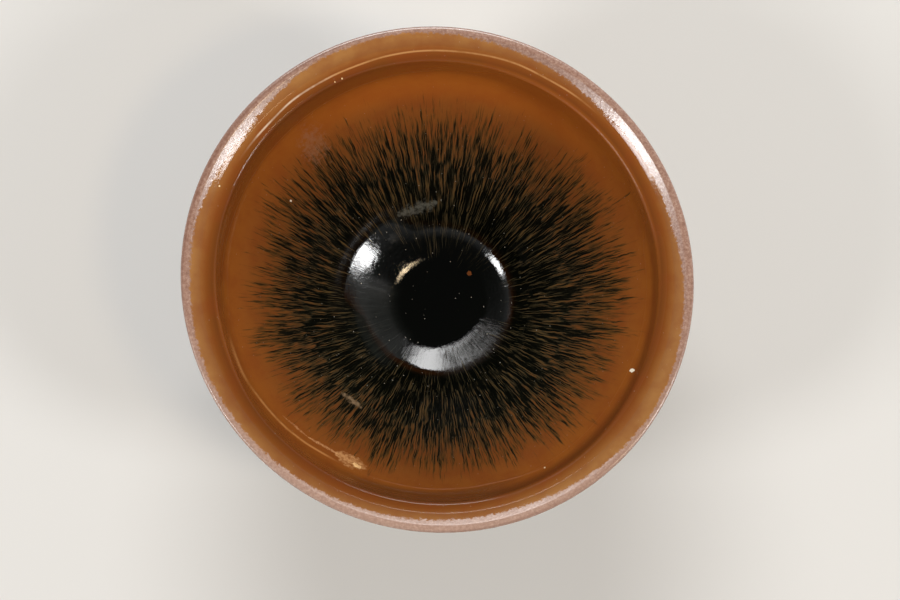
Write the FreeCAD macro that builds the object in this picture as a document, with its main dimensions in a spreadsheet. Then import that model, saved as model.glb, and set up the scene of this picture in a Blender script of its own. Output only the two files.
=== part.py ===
import FreeCAD, Part
import math
import os
from collections import namedtuple

import Sketcher

# Tenmoku tea bowl, in millimetres.
# A thick bowl thrown in dark, iron-rich stoneware, with a turned ring foot, a conical wall, a ridge
# inside and a shallow groove outside just under the flared lip. Iron glaze was poured over it and ran
# while it melted: it is thin on the lip, thicker down the wall, pooled in the well, and it stopped
# outside, above the bare foot, in a thick roll with a few tears hanging from it.
# The frame stands on the foot: Z is the axis of the wheel, and Z = 0 is the face that the bowl rests on.
# Every coat lies face to face on the clay, and meets the next coat face to face.

SIZES = {
    # The whole bowl, measured over the glaze.
    "mouth_radius": 61.0,
    "bowl_height": 66.0,
    # The lip of the clay: its flat top, its upright outer side, and the slope from the top down to the flare.
    "lip_width": 1.2,
    "lip_side": 2.2,
    "lip_inner_round": 1.0,
    "lip_outer_round": 0.7,
    "lip_side_round": 2.4,
    "lip_slope_inset": 3.55,
    "lip_slope_depth": 1.5,
    "lip_slope_round": 2.5,
    # Inside, below and in from the mouth: the foot of the flare, the narrow ledge under it that ends in a
    # ridge, and the step where the steep band below the ridge meets the wall.
    "flare_inset": 4.45,
    "flare_depth": 2.6,
    "flare_round": 1.8,
    "ridge_inset": 7.15,
    "ridge_depth": 3.0,
    "ridge_round": 2.0,
    "step_inset": 8.1,
    "step_depth": 13.2,
    "step_round": 5.0,
    # Outside, below and in from the mouth: the groove under the lip, and the shoulder under the groove.
    "groove_inset": 3.1,
    "groove_depth": 9.0,
    "groove_round": 5.0,
    "shoulder_inset": 2.6,
    "shoulder_depth": 14.4,
    "shoulder_round": 8.0,
    # The wall half way down, its level thickness there, and how gently it bends.
    "belly_out_share": 0.6,
    "belly_up_share": 0.46,
    "belly_wall": 6.3,
    "belly_round": 150.0,
    "belly_outer_round": 60.0,
    # The well, which is the small round floor that the wall runs down to.
    "well_out_share": 0.287,
    "well_rise": 0.7,
    "well_round": 17.0,
    "floor_thickness": 6.8,
    # The ring foot, the turned ledge above it and the recess inside it.
    "foot_radius": 21.0,
    "foot_height": 6.6,
    "foot_width": 5.4,
    "foot_flare": 0.6,
    "foot_round": 0.6,
    "recess_depth": 2.8,
    "recess_dome": 0.3,
    "recess_draft": 0.6,
    "recess_round": 1.2,
    "ledge_width": 3.0,
    "ledge_rise": 0.8,
    "ledge_round": 0.9,
    "ledge_root_round": 0.7,
    "heel_overhang": 7.0,
    "heel_rise": 6.9,
    "heel_round": 24.0,
    # Thickness of the coats of glaze, which grows as they run down.
    "lip_coat": 0.25,
    "thin_coat": 0.35,
    "thick_coat": 0.6,
    # The pool in the well: its depth, its level middle, and the shelf round that, which ends above and out
    # from the edge of the well.
    "pool_depth": 1.3,
    "pool_middle_share": 0.63,
    "pool_middle_rise": 0.1,
    "pool_middle_round": 15.0,
    "pool_shelf_out": 2.1,
    "pool_shelf_rise": 3.8,
    "pool_shelf_round": 13.0,
    # Where one coat ends and the next begins, as shares of the straight stretch that each seam lies on.
    "pool_seam_clay_share": 0.4,
    "pool_seam_top_share": 0.3,
    "inside_seam_share": 0.6,
    "outside_seam_share": 0.4,
    # The roll in which the outside glaze stopped, on the stretch from the belly down to the heel.
    "roll_top_share": 0.55,
    "roll_crest_share": 0.7,
    "roll_foot_share": 0.8,
    "roll_bulge": 1.8,
    "roll_droop": 0.9,
    "roll_crest_round": 2.8,
    "roll_foot_round": 1.1,
    # The tears: where they leave the roll, how long and thick they are, and how far they sink in the clay.
    "tear_top_share": 0.755,
    "tear_length": 5.6,
    "tear_neck_radius": 1.3,
    "tear_end_radius": 2.0,
    "tear_end_round": 1.6,
    "tear_sink": 0.3,
}

# The tears hang at uneven places round the bowl, each with its own share of the length.
TEAR_ANGLES = (18.0, 96.0, 139.0, 221.0, 297.0)
TEAR_LENGTH_SHARES = (1.0, 0.75, 1.3, 0.85, 1.1)

FULL_TURN = 360.0


class Length:
    """A length worked out from the sheet's sizes: its value, and its formula for the document's expressions."""

    def __init__(self, value, formula):
        self.value = value
        self.formula = formula

    def __add__(self, other):
        return Length(self.value + other.value, f"{self.formula} + {other.formula}")

    def __sub__(self, other):
        return Length(self.value - other.value, f"{self.formula} - ({other.formula})")

    def __mul__(self, other):
        factor = other if isinstance(other, Length) else Length(other, str(other))
        return Length(self.value * factor.value, f"({self.formula}) * ({factor.formula})")


Corner = namedtuple("Corner", "radius height rounding", defaults=(None,))
ON_AXIS = Length(0, "0")


def size(name):
    """A size of the sheet."""
    return Length(float(sheet.get(name)), "Sizes." + name)


def along(first, second, share):
    """The point at that share of the way from one corner to the next."""
    return Corner(first.radius + (second.radius - first.radius) * share,
                  first.height + (second.height - first.height) * share)


def inside_coat(corner, coat):
    """The glaze's corner over a corner of the clay inside the bowl: nearer the axis and higher."""
    return Corner(corner.radius - coat, corner.height + coat, corner.rounding)


def outside_coat(corner, coat):
    """The glaze's corner over a corner of the clay outside the bowl: further from the axis."""
    return Corner(corner.radius + coat, corner.height, corner.rounding)


def make_sheet():
    """The spreadsheet that every sketch reads."""
    made = doc.addObject("Spreadsheet::Sheet", "Sizes")
    for row, (name, value) in enumerate(SIZES.items(), start=1):
        made.set(f"A{row}", name)
        made.set(f"B{row}", str(value))
        made.setAlias(f"B{row}", name)
    doc.recompute()
    return made


# Sketching a half section from its corners, and turning it on the wheel's axis.

def arc_at(before, at, after, rounding):
    """The tangent arc of a rounded corner, the points where it meets the two legs, and which of its ends is at
    the first leg and which at the second."""
    back = (before - at).normalize()
    ahead = (after - at).normalize()
    half_angle = back.getAngle(ahead) / 2
    reach = rounding / math.tan(half_angle)
    centre = at + (back + ahead).normalize() * (rounding / math.sin(half_angle))
    start = at + back * reach
    end = at + ahead * reach
    angles = [math.atan2(p.y - centre.y, p.x - centre.x) for p in (start, end)]
    turns_left = back.cross(ahead).z < 0
    if not turns_left:
        angles.reverse()
    circle = Part.Circle(centre, FreeCAD.Vector(0, 0, 1), rounding)
    arc = Part.ArcOfCircle(circle, angles[0], angles[1])
    return arc, start, end, (1, 2) if turns_left else (2, 1)


def hold(sketch, geometry, vertex, direction, length):
    """Pins one coordinate of a point to its formula, or to the sketch's axis where it is zero."""
    if length is ON_AXIS:
        axis = -2 if direction == "DistanceX" else -1
        sketch.addConstraint(Sketcher.Constraint("PointOnObject", geometry, vertex, axis))
        return
    index = sketch.addConstraint(Sketcher.Constraint(direction, geometry, vertex, length.value))
    sketch.setExpression(f"Constraints[{index}]", length.formula)


def sketch_section(body, name, corners):
    """Draws the closed half section in the body's XZ plane: straight legs, with an arc at each rounded corner."""
    sketch = body.newObject("Sketcher::SketchObject", name)
    plane = next(o for o in body.Origin.OriginFeatures if o.Role == "XZ_Plane")
    sketch.AttachmentSupport = [(plane, "")]
    sketch.MapMode = "FlatFace"
    points = [FreeCAD.Vector(c.radius.value, c.height.value, 0) for c in corners]
    legs_from = list(points)
    legs_to = points[1:] + points[:1]
    arcs = {}
    for i, corner in enumerate(corners):
        if corner.rounding:
            after = points[(i + 1) % len(points)]
            arc, start, end, ends = arc_at(points[i - 1], points[i], after, corner.rounding.value)
            legs_to[i - 1] = start
            legs_from[i] = end
            arcs[i] = (sketch.addGeometry(arc, False), ends)
    legs = [sketch.addGeometry(Part.LineSegment(a, b), False) for a, b in zip(legs_from, legs_to)]
    for i, corner in enumerate(corners):
        before = legs[i - 1]
        after = legs[i]
        if i in arcs:
            arc, (first, last) = arcs[i]
            sketch.addConstraint(Sketcher.Constraint("Tangent", before, 2, arc, first))
            sketch.addConstraint(Sketcher.Constraint("Tangent", arc, last, after, 1))
            index = sketch.addConstraint(Sketcher.Constraint("Radius", arc, corner.rounding.value))
            sketch.setExpression(f"Constraints[{index}]", corner.rounding.formula)
            pin = sketch.addGeometry(Part.Point(points[i]), True)
            sketch.addConstraint(Sketcher.Constraint("PointOnObject", pin, 1, before))
            sketch.addConstraint(Sketcher.Constraint("PointOnObject", pin, 1, after))
        else:
            sketch.addConstraint(Sketcher.Constraint("Coincident", before, 2, after, 1))
            pin = after
        hold(sketch, pin, 1, "DistanceX", corner.radius)
        hold(sketch, pin, 1, "DistanceY", corner.height)
    return sketch


def turned(node, corners):
    """A sub-part turned from its half section about the wheel's axis."""
    body = doc.addObject("PartDesign::Body", node + "_body")
    body.Label = node
    sketch = sketch_section(body, node + "_section", corners)
    turn = body.newObject("PartDesign::Revolution", node + "_turn")
    turn.Profile = sketch
    turn.ReferenceAxis = (sketch, ["V_Axis"])
    turn.Angle = FULL_TURN
    doc.recompute()
    return body


doc = FreeCAD.newDocument("TeaBowl")
sheet = make_sheet()

mouth_radius = size("mouth_radius")
bowl_height = size("bowl_height")
foot_radius = size("foot_radius")
foot_height = size("foot_height")

# Corners of the clay, from the middle of the well up the inside, over the lip and down to the foot.

floor_level = size("recess_depth") + size("floor_thickness")
lip_top = bowl_height - size("lip_coat")
lip_outer = mouth_radius - size("lip_coat")
foot_inner = foot_radius - size("foot_width")

well_middle = Corner(ON_AXIS, floor_level)
well_edge = Corner(mouth_radius * size("well_out_share"), floor_level + size("well_rise"), size("well_round"))
belly = Corner(mouth_radius * size("belly_out_share"), bowl_height * size("belly_up_share"),
               size("belly_round"))
step = Corner(mouth_radius - size("step_inset"), bowl_height - size("step_depth"), size("step_round"))
ridge = Corner(mouth_radius - size("ridge_inset"), bowl_height - size("ridge_depth"), size("ridge_round"))
flare_foot = Corner(mouth_radius - size("flare_inset"), bowl_height - size("flare_depth"),
                    size("flare_round"))
lip_slope_foot = Corner(mouth_radius - size("lip_slope_inset"), bowl_height - size("lip_slope_depth"),
                        size("lip_slope_round"))
lip_inner_edge = Corner(lip_outer - size("lip_width"), lip_top, size("lip_inner_round"))
lip_outer_edge = Corner(lip_outer, lip_top, size("lip_outer_round"))
lip_side_foot = Corner(lip_outer, lip_top - size("lip_side"), size("lip_side_round"))
groove = Corner(mouth_radius - size("groove_inset"), bowl_height - size("groove_depth"),
                size("groove_round"))
shoulder = Corner(mouth_radius - size("shoulder_inset"), bowl_height - size("shoulder_depth"),
                  size("shoulder_round"))
belly_outside = Corner(belly.radius + size("belly_wall"), belly.height, size("belly_outer_round"))
heel = Corner(foot_radius + size("heel_overhang"), foot_height + size("heel_rise"), size("heel_round"))
ledge_edge = Corner(foot_radius + size("ledge_width"), foot_height + size("ledge_rise"),
                    size("ledge_round"))
ledge_root = Corner(foot_radius + size("foot_flare"), foot_height, size("ledge_root_round"))
foot_outer_edge = Corner(foot_radius, ON_AXIS, size("foot_round"))
foot_inner_edge = Corner(foot_inner, ON_AXIS, size("foot_round"))
recess_edge = Corner(foot_inner - size("recess_draft"), size("recess_depth") - size("recess_dome"),
                     size("recess_round"))
recess_middle = Corner(ON_AXIS, size("recess_depth"))

# Corners of the glaze's free surface, over those of the clay.

pool_middle = Corner(ON_AXIS, floor_level + size("pool_depth"))
pool_edge = Corner(well_edge.radius * size("pool_middle_share"),
                   pool_middle.height + size("pool_middle_rise"), size("pool_middle_round"))
pool_shelf = Corner(well_edge.radius + size("pool_shelf_out"), well_edge.height + size("pool_shelf_rise"),
                    size("pool_shelf_round"))
coat_belly = inside_coat(belly, size("thick_coat"))
coat_step = inside_coat(step, size("thin_coat"))
coat_ridge = inside_coat(ridge, size("thin_coat"))
coat_flare_foot = inside_coat(flare_foot, size("thin_coat"))
coat_lip_slope = inside_coat(lip_slope_foot, size("lip_coat"))
coat_lip_inner = inside_coat(lip_inner_edge, size("lip_coat"))
coat_lip_outer = Corner(mouth_radius, bowl_height, size("lip_outer_round"))
coat_lip_side = outside_coat(lip_side_foot, size("lip_coat"))
coat_groove = outside_coat(groove, size("thin_coat"))
coat_shoulder = outside_coat(shoulder, size("thin_coat"))
coat_belly_outside = outside_coat(belly_outside, size("thick_coat"))
coat_heel = outside_coat(heel, size("thick_coat"))

# The seams between the coats: each is a point on the clay and the point over it on the glaze.

pool_seam_clay = along(well_edge, belly, size("pool_seam_clay_share"))
pool_seam_top = along(pool_shelf, coat_belly, size("pool_seam_top_share"))
inside_share = size("inside_seam_share")
inside_seam_clay = along(flare_foot, lip_slope_foot, inside_share)
inside_seam_top = along(coat_flare_foot, coat_lip_slope, inside_share)
outside_share = size("outside_seam_share")
outside_seam_clay = along(lip_side_foot, groove, outside_share)
outside_seam_top = along(coat_lip_side, coat_groove, outside_share)
roll_share = size("roll_top_share")
roll_seam_clay = along(belly_outside, heel, roll_share)
roll_seam_top = along(coat_belly_outside, coat_heel, roll_share)

# The clay: one thrown and turned piece of dark stoneware, wall, well and ring foot together.

stoneware_body = turned("stoneware_body", [
    well_middle, well_edge, belly, step, ridge, flare_foot, lip_slope_foot, lip_inner_edge, lip_outer_edge,
    lip_side_foot, groove, shoulder, belly_outside, heel, ledge_edge, ledge_root, foot_outer_edge,
    foot_inner_edge, recess_edge, recess_middle,
])

# The pool of glass that gathered in the well.

well_glaze = turned("well_glaze", [
    pool_middle, pool_edge, pool_shelf, pool_seam_top, pool_seam_clay, well_edge, well_middle,
])

# The streaked coat on the wall inside, from the pool up past the ridge.

inner_glaze = turned("inner_glaze", [
    pool_seam_top, coat_belly, coat_step, coat_ridge, coat_flare_foot, inside_seam_top,
    inside_seam_clay, flare_foot, ridge, step, belly, pool_seam_clay,
])

# The thin, rough coat that was left over the lip.

lip_glaze = turned("lip_glaze", [
    inside_seam_top, coat_lip_slope, coat_lip_inner, coat_lip_outer, coat_lip_side, outside_seam_top,
    outside_seam_clay, lip_side_foot, lip_outer_edge, lip_inner_edge, lip_slope_foot, inside_seam_clay,
])

# The coat outside, from under the lip down to the roll.

outer_glaze = turned("outer_glaze", [
    outside_seam_top, coat_groove, coat_shoulder, coat_belly_outside, roll_seam_top,
    roll_seam_clay, belly_outside, shoulder, groove, outside_seam_clay,
])

# The thick roll in which the outside glaze stopped above the bare clay.

roll_foot_clay = along(belly_outside, heel, size("roll_foot_share"))
roll_crest_clay = along(belly_outside, heel, size("roll_crest_share"))
roll_crest = Corner(roll_crest_clay.radius + size("roll_bulge"), roll_crest_clay.height - size("roll_droop"),
                    size("roll_crest_round"))
roll_foot = Corner(roll_foot_clay.radius + size("roll_bulge"), roll_foot_clay.height - size("roll_droop"),
                   size("roll_foot_round"))
glaze_roll = turned("glaze_roll", [
    roll_seam_top, roll_crest, roll_foot, roll_foot_clay, roll_seam_clay,
])


# The tears that hang from the roll: drops lying along the slope, cut to the clay and to the roll.

def make_drop(number, angle, length_share):
    """A whole drop at that angle round the bowl: a taper with a round lower end, lying along the slope."""
    length = size("tear_length") * length_share
    drop = turned(f"drop_{number}", [
        Corner(ON_AXIS, ON_AXIS),
        Corner(size("tear_end_radius"), ON_AXIS, size("tear_end_round")),
        Corner(size("tear_neck_radius"), length),
        Corner(ON_AXIS, length),
    ])
    top = along(belly_outside, heel, size("tear_top_share"))
    uphill = FreeCAD.Vector((belly_outside.radius - heel.radius).value, 0,
                            (belly_outside.height - heel.height).value).normalize()
    into_clay = FreeCAD.Vector(-uphill.z, 0, uphill.x)
    end = FreeCAD.Vector(top.radius.value, 0, top.height.value)
    end = end - uphill * length.value + into_clay * size("tear_sink").value
    lean = FreeCAD.Rotation(FreeCAD.Vector(0, 0, 1), uphill)
    round_bowl = FreeCAD.Placement(FreeCAD.Vector(), FreeCAD.Rotation(FreeCAD.Vector(0, 0, 1), angle))
    drop.Placement = round_bowl.multiply(FreeCAD.Placement(end, lean))
    return drop


def make_tears():
    """The drops, as one group of separate solids."""
    drops = [make_drop(number, angle, share)
             for number, (angle, share) in enumerate(zip(TEAR_ANGLES, TEAR_LENGTH_SHARES), start=1)]
    whole_drops = doc.addObject("Part::MultiFuse", "whole_drops")
    whole_drops.Shapes = drops
    off_clay = doc.addObject("Part::Cut", "drops_off_clay")
    off_clay.Base = whole_drops
    off_clay.Tool = stoneware_body
    tears = doc.addObject("Part::Cut", "drops_off_roll")
    tears.Label = "glaze_tears"
    tears.Base = off_clay
    tears.Tool = glaze_roll
    doc.recompute()
    return tears


glaze_tears = make_tears()


# Checking the model and writing its files.

def check_document():
    """Stops if any object of the document failed."""
    for item in doc.Objects:
        if "Invalid" in item.State or "Error" in item.State:
            raise RuntimeError(f"{item.Name} is {item.State}")


def write_parts(nodes):
    """Writes each sub-part's solids to a file with its node's name."""
    os.makedirs("parts", exist_ok=True)
    for node in nodes:
        shape = node.Shape
        if shape.isNull() or not shape.isValid() or not shape.Solids:
            raise RuntimeError(f"{node.Label} has no valid shape")
    for node in nodes:
        shape = node.Shape
        shape.exportStep(os.path.join("parts", node.Label + ".step"))
        box = shape.optimalBoundingBox(True, False)
        print(f"{node.Label}: {len(shape.Solids)} solid(s), {shape.Volume:.1f} mm3, "
              f"radius {box.XMax:.2f}, height {box.ZMin:.2f} to {box.ZMax:.2f}")


doc.recompute()
check_document()
write_parts([stoneware_body, well_glaze, inner_glaze, lip_glaze, outer_glaze, glaze_roll, glaze_tears])
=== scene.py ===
import math

import bmesh
import bpy
from mathutils import Matrix, Vector, noise


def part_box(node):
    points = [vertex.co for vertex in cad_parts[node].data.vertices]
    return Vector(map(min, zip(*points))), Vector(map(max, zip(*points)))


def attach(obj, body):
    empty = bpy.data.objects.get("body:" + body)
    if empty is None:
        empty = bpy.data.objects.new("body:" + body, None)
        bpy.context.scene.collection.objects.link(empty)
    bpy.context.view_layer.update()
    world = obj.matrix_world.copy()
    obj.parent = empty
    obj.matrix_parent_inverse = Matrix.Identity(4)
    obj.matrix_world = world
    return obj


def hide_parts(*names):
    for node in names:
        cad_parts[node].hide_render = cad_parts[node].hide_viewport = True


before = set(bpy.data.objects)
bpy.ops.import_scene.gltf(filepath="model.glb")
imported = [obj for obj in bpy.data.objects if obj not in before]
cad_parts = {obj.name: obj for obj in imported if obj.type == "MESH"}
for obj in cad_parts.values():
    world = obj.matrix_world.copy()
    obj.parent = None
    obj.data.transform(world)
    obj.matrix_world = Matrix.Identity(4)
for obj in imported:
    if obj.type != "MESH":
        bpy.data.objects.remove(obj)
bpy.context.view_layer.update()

# The fired clay.
# One thrown and turned piece of coarse, iron-rich stoneware, burnt almost black. It shows only under the
# roll of glaze: the turned slope, the ledge, the ring foot and the recess, with rings left by the tool.

mm = 0.001
mouth_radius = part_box("lip_glaze")[1].x
bowl_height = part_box("lip_glaze")[1].z
floor_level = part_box("well_glaze")[0].z
foot_radius = 21.0 * mm
foot_height = 6.6 * mm
lip_coat = mouth_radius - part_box("stoneware_body")[1].x
lip_top = bowl_height - lip_coat
lip_outer = mouth_radius - lip_coat

# Corners of the half section, from the middle of the well up the inside and down the outside. Each is its
# distance from the axis, its height and the radius of its rounding.
well_middle = (0, floor_level, 0)
well_edge = (0.287 * mouth_radius, floor_level + 0.7 * mm, 17.0 * mm)
belly = (0.6 * mouth_radius, 0.46 * bowl_height, 150.0 * mm)
step = (mouth_radius - 8.1 * mm, bowl_height - 13.2 * mm, 9.0 * mm)
ridge = (mouth_radius - 7.8 * mm, bowl_height - 2.65 * mm, 0.9 * mm)
flare_foot = (mouth_radius - 4.25 * mm, bowl_height - 2.09 * mm, 0.8 * mm)
lip_slope_foot = (mouth_radius - 3.7 * mm, bowl_height - 1.6 * mm, 0)
lip_inner_edge = (lip_outer - 1.2 * mm, lip_top, 1.0 * mm)
lip_outer_edge = (lip_outer, lip_top, 0.7 * mm)
lip_side_foot = (lip_outer, lip_top - 2.2 * mm, 2.4 * mm)
groove = (mouth_radius - 3.1 * mm, bowl_height - 9.0 * mm, 5.0 * mm)
shoulder = (mouth_radius - 2.6 * mm, bowl_height - 14.4 * mm, 8.0 * mm)
belly_outside = (belly[0] + 6.3 * mm, belly[1], 60.0 * mm)
heel = (foot_radius + 7.0 * mm, foot_height + 6.9 * mm, 24.0 * mm)
ledge_edge = (foot_radius + 3.0 * mm, foot_height + 0.8 * mm, 0.9 * mm)
ledge_root = (foot_radius + 0.6 * mm, foot_height, 0.7 * mm)
foot_outer_edge = (foot_radius, 0, 0.6 * mm)
foot_inner_edge = (foot_radius - 5.4 * mm, 0, 0.6 * mm)
recess_edge = (foot_radius - 6.0 * mm, 2.5 * mm, 1.2 * mm)
recess_middle = (0, 2.8 * mm, 0)

ROUND_STEPS = 256
ARC_STEPS = 6
LONGEST_EDGE = 2.4 * mm
CREASE_ANGLE = math.radians(35)
MERGE_DISTANCE = 0.001 * mm


def smooth(value, start, end):
    """A smooth rise from 0 to 1 while the value goes from start to end."""
    share = min(max((value - start) / (end - start), 0), 1)
    return share * share * (3 - 2 * share)


def between(value, start, full, still, end):
    """1 from full to still, falling smoothly to 0 at start and at end."""
    return smooth(value, start, full) * (1 - smooth(value, still, end))


def half_section(corners, closed):
    """A wire through the corners, each rounded by a bevel, with its long edges divided evenly."""
    wire = bmesh.new()
    points = [Vector((radius, 0, height)) for radius, height, rounding in corners]
    verts = [wire.verts.new(point) for point in points]
    for first, second in zip(verts, verts[1:] + verts[:1] if closed else verts[1:]):
        wire.edges.new((first, second))
    for i, (radius, height, rounding) in enumerate(corners):
        if rounding:
            after = points[(i + 1) % len(points)]
            turn = (points[i] - points[i - 1]).angle(after - points[i])
            bmesh.ops.bevel(wire, geom=[verts[i]], offset=rounding * math.tan(turn / 2), offset_type="OFFSET",
                            segments=ARC_STEPS, profile=0.5, affect="VERTICES", material=-1)
    for edge in wire.edges[:]:
        cuts = int(edge.calc_length() / LONGEST_EDGE)
        if cuts:
            bmesh.ops.subdivide_edges(wire, edges=[edge], cuts=cuts)
    return wire


# How far the real bowl is off the wheel's round: an oval mouth that sways, a swell behind, a ridge that lies
# further out in front, and a wide shelf in the well. The turns are in degrees from the right: where a change
# starts, is full, is still full and ends.
OVAL_SHARE = 0.0125
OVAL_TURN = math.radians(-35)
BACK_SWELL = 0.006
BACK_TURN = math.radians(76)
RIM_SWAY = 0.22 * mm
RIDGE_SHIFT = 1.0 * mm
RIDGE_SHIFT_TURNS = (195, 225, 305, 345)
RIDGE_SHIFT_HEIGHTS = (53.0 * mm, 62.0 * mm)
RIDGE_SHIFT_ENDS = (mouth_radius - 6.8 * mm, mouth_radius - 4.2 * mm)
WIDE_SHELF_TURNS = (92, 128, 168, 218)
WIDE_SHELF_DEPTHS = (2.5 * mm, 5.0 * mm)

# The pool's surface where the well is narrow, and on the left, where its shelf is wider and flatter.
pool_depth = 1.3 * mm
pool_middle = (0, floor_level + pool_depth, 0)
pool_edge = (0.63 * well_edge[0], floor_level + pool_depth + 0.1 * mm, 15.0 * mm)
pool_shelf = (20.4 * mm, well_edge[1] + 4.1 * mm, 13.0 * mm)
low_wall_bend = (36.0 * mm, 31.0 * mm, 120.0 * mm)
wall_point = (40.0 * mm, 36.35 * mm, 0)
wide_shelf = (22.5 * mm, pool_edge[1] + 4.6 * mm, 41.0 * mm)
wide_shelf_end = (29.2 * mm, wide_shelf[1] + 4.35 * mm, 6.0 * mm)


def surface(corners):
    """The radii and heights along a rounded half section."""
    wire = half_section(corners, closed=False)
    points = sorted((vert.co.x, vert.co.z) for vert in wire.verts)
    wire.free()
    return points


def height_at(points, radius):
    """The height of a half section at a radius."""
    for (near, low), (far, high) in zip(points, points[1:]):
        if radius <= far:
            return low + (high - low) * (radius - near) / (far - near)
    return points[-1][1]


narrow_side = surface([pool_middle, pool_edge, pool_shelf, low_wall_bend, wall_point])
wide_side = surface([pool_middle, pool_edge, wide_shelf, wide_shelf_end, wall_point])


def off_the_wheel(point):
    """Moves a point of the true form to where it lies on the real bowl, which is a little oval, with an
    uneven mouth, a ridge that lies further out in front and a well whose shelf is wider on the left."""
    angle = math.atan2(point.y, point.x)
    radius = math.hypot(point.x, point.y)
    turn = math.degrees(angle) % 360
    widening = between(turn, *WIDE_SHELF_TURNS)
    if widening and radius < wall_point[0]:
        narrow = height_at(narrow_side, radius)
        depth = narrow - point.z
        shift = height_at(wide_side, radius) - narrow
        point = point + Vector((0, 0, shift * widening * (1 - smooth(depth, *WIDE_SHELF_DEPTHS))))
    outwards = RIDGE_SHIFT * between(turn, *RIDGE_SHIFT_TURNS) * smooth(point.z, *RIDGE_SHIFT_HEIGHTS)
    outwards *= 1 - smooth(radius, *RIDGE_SHIFT_ENDS)
    if outwards:
        point = point + Vector((point.x, point.y, 0)) * (outwards / radius)
    lift = max(point.z, 0) / bowl_height
    swell = 1 + OVAL_SHARE * lift ** 2 * math.cos(2 * (angle - OVAL_TURN))
    swell += BACK_SWELL * lift ** 2 * max(math.cos(angle - BACK_TURN), 0) ** 4
    sway = RIM_SWAY * lift ** 3 * (math.cos(angle + 0.6) + 0.5 * math.cos(3 * angle))
    return Vector((point.x * swell, point.y * swell, point.z + sway))


def finish_piece(name, mesh, material):
    """Makes the object of a finished mesh, as uneven as the real bowl, smooth but for its creases, and riding
    on the bowl's body."""
    for vert in mesh.verts:
        vert.co = off_the_wheel(vert.co)
    for face in mesh.faces:
        face.smooth = True
    for edge in mesh.edges:
        edge.smooth = edge.calc_face_angle(0) < CREASE_ANGLE
    data = bpy.data.meshes.new(name)
    mesh.to_mesh(data)
    mesh.free()
    piece = bpy.data.objects.new(name, data)
    bpy.context.scene.collection.objects.link(piece)
    data.materials.append(material)
    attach(piece, "root")
    return piece


def turned(corners, closed=True):
    """A mesh turned all round from a half section."""
    mesh = half_section(corners, closed)
    bmesh.ops.spin(mesh, geom=mesh.verts[:] + mesh.edges[:], cent=(0, 0, 0), axis=(0, 0, 1), angle=math.tau,
                   steps=ROUND_STEPS, use_merge=True)
    bmesh.ops.remove_doubles(mesh, verts=mesh.verts[:], dist=MERGE_DISTANCE)
    bmesh.ops.recalc_face_normals(mesh, faces=mesh.faces[:])
    return mesh


def colour(red, green, blue):
    """A colour as it looks on screen, from 0 to 255, as the shader's linear colour."""
    return tuple(((c / 255 + 0.055) / 1.055) ** 2.4 if c > 10 else c / 255 / 12.92
                 for c in (red, green, blue)) + (1.0,)


class Finish:
    """The material of one finish, with short ways to add its nodes."""

    def __init__(self, name):
        self.material = bpy.data.materials.new(name)
        self.material.use_nodes = True
        self.tree = self.material.node_tree
        self.shader = self.tree.nodes["Principled BSDF"]
        self.place = self.node("ShaderNodeTexCoord").outputs["Object"]

    def put(self, socket, value):
        """Sets a socket to a value, or links it to another node's output."""
        if isinstance(value, bpy.types.NodeSocket):
            self.tree.links.new(value, socket)
        else:
            socket.default_value = value

    def node(self, kind, inputs=None, **settings):
        """A new node with its settings and inputs."""
        made = self.tree.nodes.new(kind)
        for name, value in settings.items():
            setattr(made, name, value)
        for name, value in (inputs or {}).items():
            self.put(made.inputs[name], value)
        return made

    def maths(self, operation, *values):
        """A number worked out from others."""
        made = self.node("ShaderNodeMath", operation=operation)
        for socket, value in zip(made.inputs, values):
            self.put(socket, value)
        return made.outputs[0]

    def times(self, *values):
        """The product of some numbers."""
        product = values[0]
        for value in values[1:]:
            product = self.maths("MULTIPLY", product, value)
        return product

    def blend(self, share, low, high):
        """A number that goes from low to high with a share."""
        return self.maths("MULTIPLY_ADD", share, high - low, low)

    def vector(self, operation, *values, output="Vector"):
        """A vector worked out from others."""
        made = self.node("ShaderNodeVectorMath", operation=operation)
        for socket, value in zip(made.inputs, values):
            self.put(socket, value)
        return made.outputs[output]

    def grain(self, vector, scale, detail=2.0, roughness=0.5, distortion=0.0):
        """Noise at a vector, as a number around a half."""
        inputs = {"Vector": vector, "Scale": scale, "Detail": detail, "Roughness": roughness,
                  "Distortion": distortion}
        return self.node("ShaderNodeTexNoise", inputs).outputs["Fac"]

    def rise(self, value, start, end, low=0.0, high=1.0, how="SMOOTHSTEP"):
        """A rise from low to high while the value goes from start to end."""
        inputs = {"Value": value, "From Min": start, "From Max": end, "To Min": low, "To Max": high}
        return self.node("ShaderNodeMapRange", inputs, interpolation_type=how).outputs["Result"]

    def ramp(self, value, stops, how="LINEAR"):
        """The colour at a value, between stops of place and colour."""
        made = self.node("ShaderNodeValToRGB", {"Fac": value})
        made.color_ramp.interpolation = how
        elements = made.color_ramp.elements
        while len(elements) < len(stops):
            elements.new(0.5)
        for element, (place, shade) in zip(elements, stops):
            element.position = place
            element.color = shade
        return made.outputs["Color"]

    def levels(self, value, stops, how="LINEAR"):
        """The number at a value, between stops of place and number."""
        return self.ramp(value, [(place, (level, level, level, 1)) for place, level in stops], how)

    def mix(self, share, first, second):
        """A mix of two colours."""
        made = self.node("ShaderNodeMix", data_type="RGBA")
        self.put(made.inputs[0], share)
        self.put(made.inputs[6], first)
        self.put(made.inputs[7], second)
        return made.outputs[2]

    def relief(self, *layers):
        """Bumps the surface by layers of height and depth in metres, one over the other."""
        normal = None
        for height, depth in layers:
            made = self.node("ShaderNodeBump", {"Height": height, "Distance": depth})
            if normal:
                self.put(made.inputs["Normal"], normal)
            normal = made.outputs["Normal"]
        self.put(self.shader.inputs["Normal"], normal)


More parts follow.
